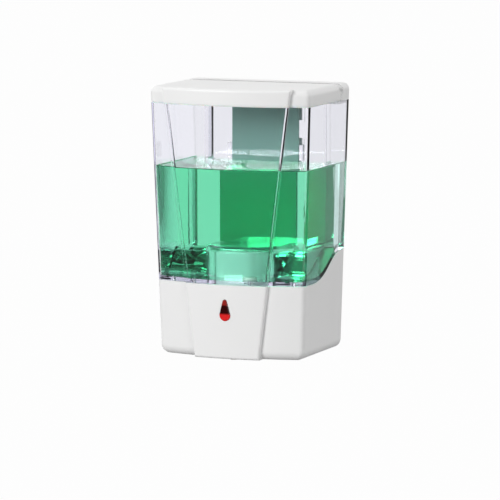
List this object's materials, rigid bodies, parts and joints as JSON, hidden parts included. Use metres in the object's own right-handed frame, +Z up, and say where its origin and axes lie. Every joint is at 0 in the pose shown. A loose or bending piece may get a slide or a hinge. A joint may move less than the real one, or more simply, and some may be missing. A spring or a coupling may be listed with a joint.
{
  "type": "wall mounted soap dispenser",
  "caption": "Wall mounted touch-free soap dispenser: white sensor base, clear flared tank of green soap, hinged lid, roller pump and a plate it hangs on.",
  "frame": {"origin": "on the wall plane at the middle of the bracket's four screw holes", "axes": "+Z up, +Y into the wall, so the front faces -Y, +X to the right seen from the front"},
  "size_m": [0.131, 0.1, 0.2094],
  "materials": {
    "clear_plastic": "clear, polished",
    "green_soap": "clear green liquid",
    "white_shell": "white, satin gloss",
    "white_inner": "white, matt",
    "grey_plastic": "mid grey, fine grain",
    "red_lens": "clear red, polished",
    "dark_window": "black infrared filter",
    "steel": "zinc plated",
    "brass": "turned",
    "board": "green solder mask",
    "silicone": "translucent white silicone",
    "black_plastic": "black, matt",
    "nylon": "natural nylon",
    "cell_wrap": "plain dark sleeve",
    "lamp_clear": "tinted resin"
  },
  "bodies": {
    "bracket": {"wall_bracket": "grey_plastic"},
    "dispenser": {"tank": "clear_plastic", "soap_fill": "green_soap", "backing_plate": "grey_plastic", "base_housing": "white_shell", "bottom_cover": "white_shell", "cover_screws": "steel", "tank_screws": "steel", "outlet_grommet": "silicone", "outlet_strainer": "white_inner", "indicator_lens": "red_lens", "indicator_lamp": "lamp_clear", "lamp_board": "board", "sensor_window": "dark_window", "sensor_emitter": "lamp_clear", "sensor_receiver": "black_plastic", "control_board": "board", "board_parts": "black_plastic", "switch_body": "steel", "battery_tray": "white_inner", "battery_cells": "cell_wrap", "battery_contacts": "steel", "motor": "steel", "gear_frame": "white_inner", "idler_pin": "steel", "frame_screws": "steel", "pump_housing": "white_inner", "pump_cover": "white_inner", "pump_screws": "steel", "pump_tube": "silicone", "nozzle": "silicone", "hinge_bar": "white_shell", "hinge_pin": "steel"},
    "lid": {"lid": "white_shell", "lid_seal": "silicone"},
    "battery_door": {"battery_door": "white_shell"},
    "switch_knob": {"switch_knob": "black_plastic"},
    "pinion": {"motor_pinion": "brass", "motor_shaft": "steel"},
    "idler": {"idler_gear": "nylon"},
    "rotor": {"pump_rotor": "nylon", "drive_gear": "nylon", "roller_pins": "steel"},
    "roller_1": {"roller_1": "nylon"},
    "roller_2": {"roller_2": "nylon"},
    "roller_3": {"roller_3": "nylon"}
  },
  "joints": [
    {"name": "hang_slide", "type": "slide", "parent": "bracket", "child": "dispenser", "axis": [0, 0, 1], "range_m": [0, 0.018]},
    {"name": "lid_hinge", "type": "hinge", "parent": "dispenser", "child": "lid", "pos_m": [0, -0.017, 0.0384], "axis": [-1, 0, 0], "range_deg": [0, 97]},
    {"name": "battery_door_slide", "type": "slide", "parent": "dispenser", "child": "battery_door", "axis": [0, 0, -1], "range_m": [0, 0.06]},
    {"name": "power_switch_slide", "type": "slide", "parent": "dispenser", "child": "switch_knob", "axis": [1, 0, 0], "range_m": [0, 0.0038]},
    {"name": "rotor_spin", "type": "hinge", "parent": "dispenser", "child": "rotor", "pos_m": [0, -0.049, -0.1465], "axis": [0, 0, 1], "continuous": true},
    {"name": "idler_spin", "type": "hinge", "parent": "dispenser", "child": "idler", "pos_m": [0.01631, -0.03771, -0.127], "axis": [0, 0, 1], "continuous": true},
    {"name": "pinion_spin", "type": "hinge", "parent": "dispenser", "child": "pinion", "pos_m": [0, -0.03, -0.127], "axis": [0, 0, 1], "continuous": true},
    {"name": "roller_1_spin", "type": "hinge", "parent": "rotor", "child": "roller_1", "pos_m": [0.0067, -0.049, -0.1465], "axis": [0, 0, 1], "continuous": true},
    {"name": "roller_2_spin", "type": "hinge", "parent": "rotor", "child": "roller_2", "pos_m": [-0.00335, -0.0432, -0.1465], "axis": [0, 0, 1], "continuous": true},
    {"name": "roller_3_spin", "type": "hinge", "parent": "rotor", "child": "roller_3", "pos_m": [-0.00335, -0.0548, -0.1465], "axis": [0, 0, 1], "continuous": true}
  ],
  "couplings": [
    {"joint": "idler_spin", "follows": "rotor_spin", "ratio": -4.5},
    {"joint": "pinion_spin", "follows": "rotor_spin", "ratio": 18},
    {"joint": "roller_1_spin", "follows": "rotor_spin", "ratio": -2.75},
    {"joint": "roller_2_spin", "follows": "rotor_spin", "ratio": -2.75},
    {"joint": "roller_3_spin", "follows": "rotor_spin", "ratio": -2.75}
  ]
}
